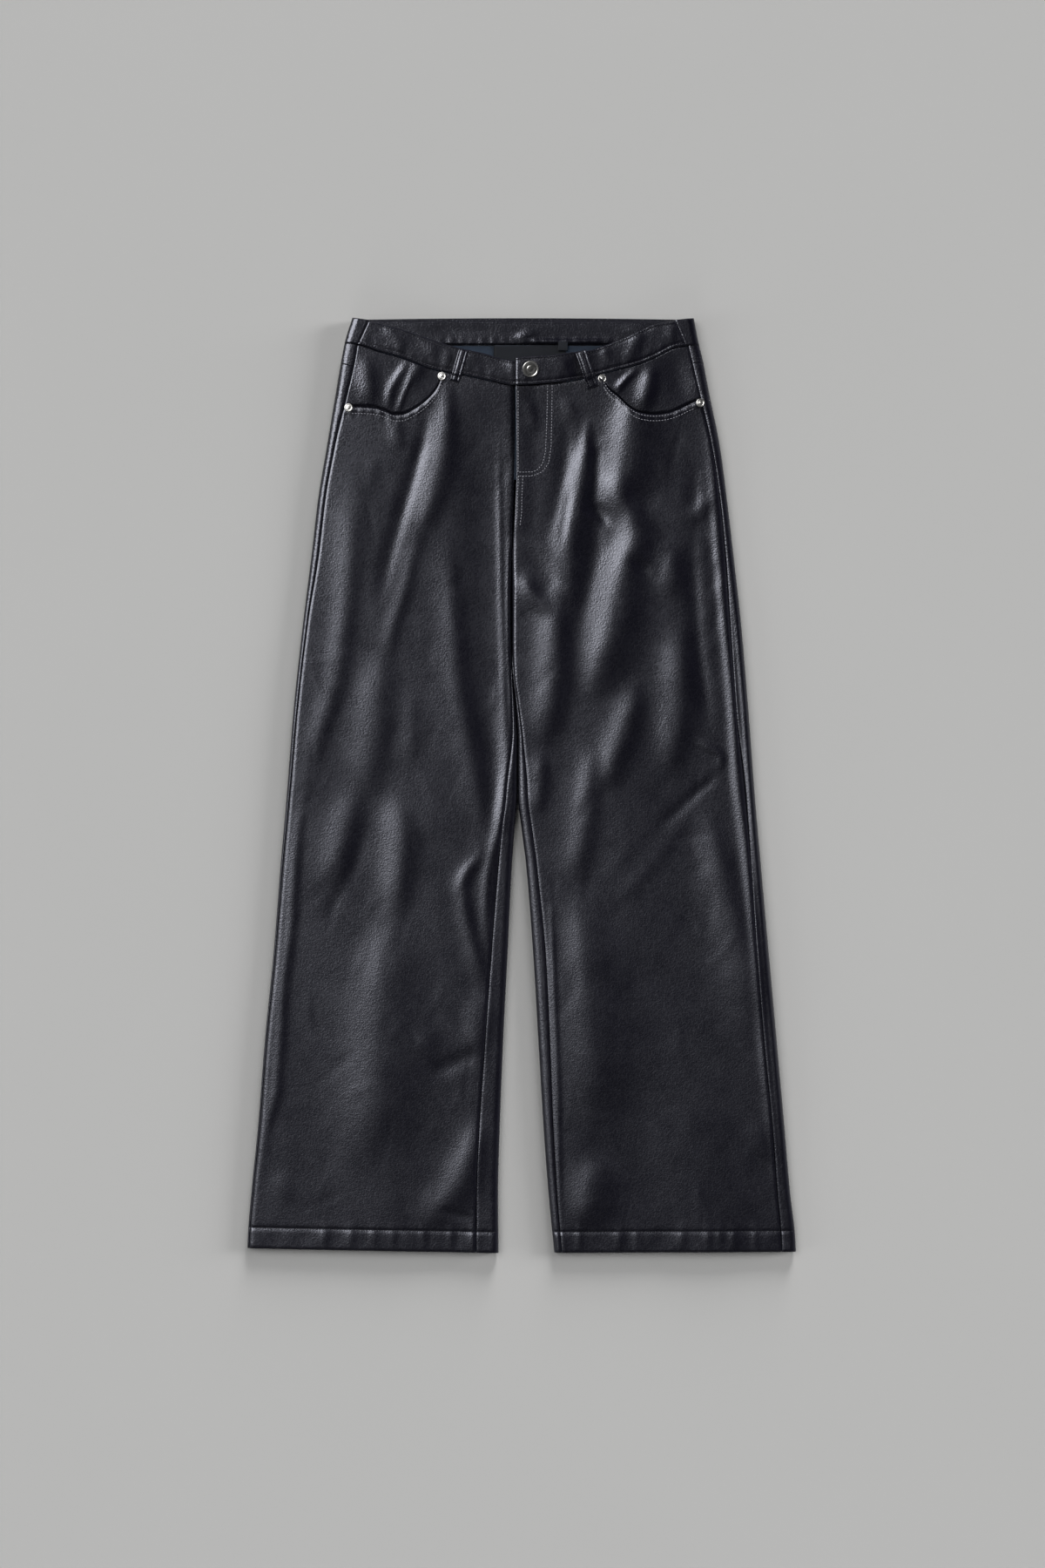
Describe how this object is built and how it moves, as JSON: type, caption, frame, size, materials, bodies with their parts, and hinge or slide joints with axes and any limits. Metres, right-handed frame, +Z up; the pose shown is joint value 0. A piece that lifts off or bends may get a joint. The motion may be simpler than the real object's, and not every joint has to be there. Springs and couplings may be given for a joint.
{
  "type": "leather trousers",
  "caption": "Black leather trousers with wide straight legs, laid flat face up, with curved front pockets, a fly, belt loops, rivets and a shank button.",
  "frame": {"origin": "on the surface that the garment lies on, below the middle of its outline", "axes": "+Y from the hems to the waist, +X to the wearer's left, +Z up from the surface"},
  "size_m": [0.6304, 1.074, 0.0245],
  "materials": {
    "leather": "soft gloss, fine grain",
    "backing": "matt woven backing",
    "label": "satin ribbon",
    "hardware": "aged nickel"
  },
  "bodies": {
    "root": {"front_right_panel": "leather", "front_left_panel": "leather", "back_right_panel": "leather", "back_left_panel": "leather", "back_right_yoke": "leather", "back_left_yoke": "leather", "right_pocket_facing": "leather", "left_pocket_facing": "leather", "waistband_front_right": "leather", "waistband_front_left": "leather", "waistband_back": "leather", "back_waist_facing": "leather", "belt_loop_front_right": "leather", "belt_loop_front_left": "leather", "belt_loop_back_right": "leather", "belt_loop_back_centre": "leather", "belt_loop_back_left": "leather", "fly_shield": "backing", "rivet_right_outer": "hardware", "rivet_right_inner": "hardware", "rivet_left_inner": "hardware", "rivet_left_outer": "hardware", "waist_button": "hardware", "waist_label": "label", "size_tab": "label"}
  },
  "joints": []
}
